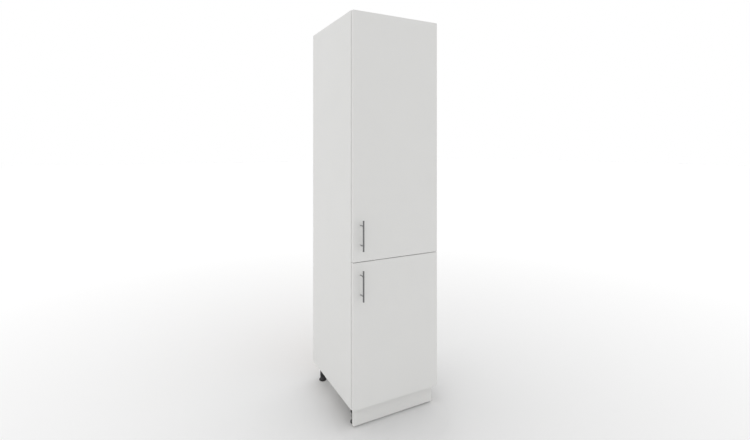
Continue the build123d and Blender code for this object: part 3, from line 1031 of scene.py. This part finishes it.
cut(bowl, [well(CUP_MOUTH - BOWL_DEPTH + BOWL_WALL, CUP_MOUTH + OVERSHOOT)])
cut(flange, [well(CUP_MOUTH - OVERSHOOT, CUP_MOUTH + 2 * OVERSHOOT)])
ease(bowl, width=0.25 * MM)
ease(flange, width=0.2 * MM)
pin_ends = [(CUP_PIN_X, CUP_PIN_Y, z) for z in (-CHEEK, CHEEK)]
cup_pin = add_rod("cup pin", *pin_ends, CUP_PIN_RADIUS, sides=24)
cup = smooth(dress(join([bowl, flange, cup_pin], "hinge cup"), nickel), degrees=30)
print("cup", len(cup.data.polygons), "faces")

# %% [markdown]
# Now the cup and the screws' heads go to every hinge. Linked copies would share one mesh, but each
# piece has to hold its place in its own mesh, so all are real copies. The places are written once
# in the hinge's frame and then moved to each hinge.

# %% Cups and the hinges' screws
CUP_SCREW = (-15 * MM, CUP_MOUTH + FLANGE_THICK, 22.5 * MM)
PLATE_SCREW = (-2 * MM, 37 * MM, 16 * MM)
ARM_SCREWS = ((-15 * MM, 24 * MM, 0), (-15 * MM, 50 * MM, 0))

cup_screw = cross_head("cup screw", 3.6 * MM, 1.1 * MM, slot_width=0.9 * MM, slot_depth=0.8 * MM)
plate_screw = cross_head("plate screw", 4 * MM, 1.6 * MM, slot_width=1 * MM, slot_depth=1 * MM)
arm_screw = cross_head("arm screw", 3.2 * MM, 1.4 * MM, slot_width=0.9 * MM, slot_depth=1 * MM,
                       dome=0.2)


def pair(x, y, z):
    """A place in the hinge frame below the middle, and the same above."""
    return [(x, y, -z), (x, y, z)]


def at_hinges(which, piece, places, name, facing=UP):
    """Copies a piece to places in the hinge frame, for each hinge of a door."""
    moved = [(side_inner + x, front + y, height + z)
             for height in hinge_heights(which) for x, y, z in places]
    return copies(piece, moved, name, facing)


for which in DOORS:
    door = which + "_door"
    cups = at_hinges(which, cup, [(0, 0, 0)], which + "_cups")
    mount(cups, door, "hinge_steel", which + "_hinge_cups")
    cup_heads = at_hinges(which, cup_screw, pair(*CUP_SCREW), which + "_cup_screws", TO_BACK)
    mount(cup_heads, door, "hinge_steel")
    plate_heads = at_hinges(which, plate_screw, pair(*PLATE_SCREW), "heads", TO_LEFT)
    arm_heads = at_hinges(which, arm_screw, ARM_SCREWS, "heads", TO_LEFT)
    mount(join([plate_heads, arm_heads], which + "_hinge_screws"), "carcass", "hinge_steel")
discard(cup, cup_screw, plate_screw, arm_screw)

# %% [markdown]
# ## Bumpers
#
# Two clear buttons on each door keep it from knocking on the carcass. A squashed sphere would
# meet the door in a sharp rim. A button is turned like a low drop with a rounded rim instead.

# %% Bumpers
BUTTON_RADIUS = 4 * MM
BUTTON_SECTION = in_metres([(0, 0), (3.8, 0), (4.0, 0.4), (3.7, 1.4), (2.9, 2.1), (1.6, 2.45),
                            (0, 2.5)])

button = turned("button", BUTTON_SECTION, steps=32)
smooth(dress(button, bumper_plastic), degrees=60)
for which in DOORS:
    low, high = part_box(which + "_door_bumpers")
    x = (low.x + high.x) / 2
    places = [(x, low.y, z) for z in (low.z + BUTTON_RADIUS, high.z - BUTTON_RADIUS)]
    bumpers = copies(button, places, which + "_bumper_buttons", TO_BACK)
    mount(bumpers, which + "_door", "clear_bumper", which + "_door_bumpers")
discard(button)

# %% [markdown]
# ## Feet
#
# A leg is a socket under the carcass and a foot that screws into it. The foot is turned, with a
# wide disc that fingers can turn. The grip round the disc could be many small cutters. It is
# quicker to inset every second face of its rim and push it in.

# %% Feet
FEET = ("foot_front_left", "foot_front_right", "foot_rear_left", "foot_rear_right")
FOOT_SECTION = in_metres([(0, 0), (20.2, 0), (21, 0.8), (21, 4.8), (20.3, 5.8), (18.6, 7.4),
                          (16.6, 10.5), (15, 15), (14, 20), (14, 22), (10, 22), (10, 73),
                          (9, 74), (0, 74)])
UPRIGHT = 0.1  # the most that a wall's normal leans


def flute(piece, low, high, width, depth):
    """Sinks every second upright face between two heights, counted round the axis."""
    def chosen(mesh):
        wall = [face for face in mesh.polygons
                if low < face.center.z < high and abs(face.normal.z) < UPRIGHT]
        wall.sort(key=lambda face: math.atan2(face.center.y, face.center.x))
        return wall[::2]

    pick(piece, "FACE", chosen)
    bpy.ops.mesh.inset(thickness=width, depth=-depth, use_individual=True)
    leave_edit()
    return piece


foot = turned("foot", FOOT_SECTION)
flute(foot, low=2 * MM, high=4 * MM, width=0.35 * MM, depth=0.5 * MM)
smooth(dress(foot, black_plastic))
leg_places = []
for node in FEET:
    low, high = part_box(node)
    leg_places.append(((low.x + high.x) / 2, (low.y + high.y) / 2, low.z))
    mount(copies(foot, leg_places[-1:], node + "_turned"), node, "black_plastic", node)
discard(foot)

# %% [markdown]
# ## Leg sockets
#
# A socket is a moulded tube under a square plate. Both could be cut out of one lump, but joined
# from simple pieces each keeps its clean edges. The tube is turned with its bore and fluted like
# the foot. The faces of the bore count too, so nearly every outer face is sunk, with thin ribs
# between. The plate is a block with its corners rounded in plan.

# %% Tube and plate
TUBE_RADIUS, TUBE_BORE, TUBE_END = 15 * MM, 10.3 * MM, 22 * MM
TUBE_CHAMFER = 0.6 * MM
FLUTES_FROM, FLUTES_TO, BORE_RING = 30 * MM, 84 * MM, 77 * MM
PLATE_HALF, PLATE_THICK, PLATE_CORNER = 25 * MM, 5 * MM, 8 * MM
sockets_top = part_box("leg_sockets")[1].z
plate_underside = sockets_top - PLATE_THICK
tube_top = sockets_top - 1 * MM

section = [(TUBE_BORE, TUBE_END), (TUBE_RADIUS - TUBE_CHAMFER, TUBE_END),
           (TUBE_RADIUS, TUBE_END + TUBE_CHAMFER), (TUBE_RADIUS, FLUTES_FROM),
           (TUBE_RADIUS, FLUTES_TO), (TUBE_RADIUS, tube_top), (TUBE_BORE, tube_top),
           (TUBE_BORE, BORE_RING), (TUBE_BORE, TUBE_END)]
tube = turned("tube", section, steps=32)
flute(tube, FLUTES_FROM, FLUTES_TO, width=0.5 * MM, depth=0.7 * MM)
plate = add_block("plate", (-PLATE_HALF, -PLATE_HALF, plate_underside),
                  (PLATE_HALF, PLATE_HALF, sockets_top))
round_edges(plate, lambda a, b: abs(a.z - b.z) > APART, radius=PLATE_CORNER, segments=6)
ease(plate, width=0.6 * MM)
print("tube", len(tube.data.polygons), "faces, plate", len(plate.data.polygons), "faces")

# %% [markdown]
# Four thin gussets brace the tube against the plate. A gusset could be an extruded triangle. It
# starts as a block here, and Bisect slices off its lower outer corner. It is made once and turned
# about the tube in quarter turns.

# %% Gussets and sockets
GUSSET_FROM, GUSSET_TO, GUSSET_FOOT = 14 * MM, 22.5 * MM, 0.5 * MM
GUSSET_HALF, GUSSET_DROP, GUSSET_SUNK = 1.2 * MM, 9 * MM, 0.5 * MM

gusset_low = plate_underside - GUSSET_DROP
gusset = add_block("gusset", (GUSSET_FROM, -GUSSET_HALF, gusset_low),
                   (GUSSET_TO, GUSSET_HALF, plate_underside + GUSSET_SUNK))
edit(gusset)
bpy.ops.mesh.bisect(plane_co=(GUSSET_FROM + GUSSET_FOOT, 0, gusset_low),
                    plane_no=Vector((1, 0, -1)).normalized(), clear_outer=True, use_fill=True)
leave_edit()
ease(gusset, width=0.2 * MM)
gussets = [copies(gusset, [(0, 0, 0)], "gusset", (0, 0, quarter * math.pi / 2))
           for quarter in range(4)]
socket = smooth(dress(join([tube, plate] + gussets, "socket"), black_plastic))
floor_places = [(x, y, 0) for x, y, z in leg_places]
sockets = copies(socket, floor_places, "ribbed_leg_sockets")
mount(sockets, "carcass", "black_plastic", "leg_sockets")
discard(gusset, socket)

# %% [markdown]
# Each plate is held by four screws, whose heads look down. They could be left out, as no one lies
# on the floor to see them, but without them a view from below shows a plate that hangs on nothing.

# %% Screws of the sockets
SOCKET_SCREW = 17.5 * MM
socket_screw = cross_head("socket screw", 3.5 * MM, 2 * MM, slot_width=1 * MM, slot_depth=1.2 * MM)
offsets = [(x, y) for x in (-SOCKET_SCREW, SOCKET_SCREW) for y in (-SOCKET_SCREW, SOCKET_SCREW)]
places = [(x + a, y + b, plate_underside) for x, y, z in leg_places for a, b in offsets]
mount(copies(socket_screw, places, "socket_screws", DOWN), "carcass", "hinge_steel")
discard(socket_screw)

# %% [markdown]
# ## Plinth
#
# The plinth is a board that hangs a few millimetres clear of the floor. Its ends and its lower
# edge are banded, and the upper edge is bare. Two clips on its back snap onto the front legs, so
# that it can be pulled off to clean underneath. They could be modelled anew, but they have to fit
# the legs, so they start from their frame mesh, as the hinge arms do.

# %% Plinth and clips
plinth = board("plinth_board", "plinth", banded=[LEFT, RIGHT, BELOW], bare=[ABOVE])
mount(plinth, "plinth", "white_board", "plinth")
clips = refine("plinth_clips", "snap_clips", black_plastic, width=0.5 * MM)
mount(clips, "plinth", "black_plastic", "plinth_clips")

# %% [markdown]
# ## Floor
#
# The cabinet stands in a bright, even studio, on a white floor that gets a soft shade from it.
# Stronger lamps could make it pure white far away, but they would burn out the white boards. So
# to the camera it is painted: pure white far away, and greyer near the cabinet, a painted shade
# that deepens the cabinet's own. For all other rays it is a plain light grey and lights the
# cabinet from below no more than a real floor.

# %% Floor
FLOOR_SIZE = 80
FLOOR_GREY = (0.80, 0.80, 0.80, 1)
# Painted shade: the grey that the floor is painted near the cabinet.
FLOOR_PAINTED_SHADE = (0.75, 0.75, 0.75, 1)
FLOOR_FAR = (1.0, 1.0, 1.0, 1)
NEAR, FAR, RISE_CURVE = 0.3, 3.6, 0.55
SHADE_CENTRE = (0, -0.2, 0)


def seen(network):
    """1 for what the camera sees, also in metal and through plastic, and 0 for other light."""
    rays = [network.node("ShaderNodeLightPath", output="Is " + ray + " Ray")
            for ray in ("Camera", "Glossy", "Transmission")]
    return network.maths("MAXIMUM", network.maths("MAXIMUM", rays[0], rays[1]), rays[2])


begin()
bpy.ops.mesh.primitive_plane_add(size=FLOOR_SIZE, location=(0, 0, 0))
floor = bpy.context.object
floor.name = "studio_floor"

studio = Finish("studio floor", Roughness=1.0, Specular_IOR_Level=0.0)
ends = {0: studio.place(), 1: SHADE_CENTRE}
away = studio.node("ShaderNodeVectorMath", {"operation": "DISTANCE"}, ends, output="Value")
rise = studio.maths("POWER", studio.spread(away, NEAR, FAR), RISE_CURVE)
# Painted shade: greyer near the cabinet, rising to white far away.
painted = studio.blend(rise, FLOOR_PAINTED_SHADE, FLOOR_FAR)
studio.colour(seen(studio), FLOOR_GREY, painted)
dress(floor, studio)
print("floor", floor.dimensions.x, "m wide")

# %% [markdown]
# ## Light
#
# The world is the only lamp: an even white room, a little brighter above and behind the cabinet.
# Area lamps could do the same, but would put bright spots on the satin boards. The tilt of the
# light makes the side of the cabinet a little brighter than its front. What the camera sees of
# the room is plain white.

# %% Light
SKY_LEVEL = 0.90
SKY_TILT = (0.0, 0.11, 0.16)

world = bpy.data.worlds.new("studio")
bpy.context.scene.world = world
world.use_nodes = True
sky = Network(world.node_tree)
ends = {0: sky.node("ShaderNodeTexCoord", output="Generated"), 1: SKY_TILT}
tilt = sky.node("ShaderNodeVectorMath", {"operation": "DOT_PRODUCT"}, ends, output="Value")
strength = sky.node("ShaderNodeMix", {}, {0: seen(sky), 2: tilt + SKY_LEVEL, 3: 1.0})
background = world.node_tree.nodes["Background"]
background.inputs["Color"].default_value = (1, 1, 1, 1)
world.node_tree.links.new(strength.socket, background.inputs["Strength"])
print("world level", SKY_LEVEL)

# %% [markdown]
# ## Camera
#
# The camera stands at breast height and looks level, so that upright edges stay upright in the
# picture. It could be tipped down to take in the whole cabinet, but then the sides would lean. A
# shift of the lens moves the view down instead, as on a camera for buildings.

# %% Camera
EYE = (-1.1192, -2.1413, 1.3788)
HEADING = math.radians(27.84)
FILM_WIDTH_MM, LENS_MM = 36, 20.51
LENS_SHIFT = -0.0963
SIGHT = 200

bpy.ops.object.camera_add(location=EYE, rotation=(math.pi / 2, 0, -HEADING))
camera = bpy.context.object
camera.data.sensor_width = FILM_WIDTH_MM
camera.data.lens = LENS_MM
camera.data.shift_y = LENS_SHIFT
camera.data.clip_end = SIGHT
bpy.context.scene.camera = camera
bpy.context.scene.view_settings.view_transform = "Standard"
print("camera", round(camera.location.z, 2), "m high, lens", LENS_MM, "mm")
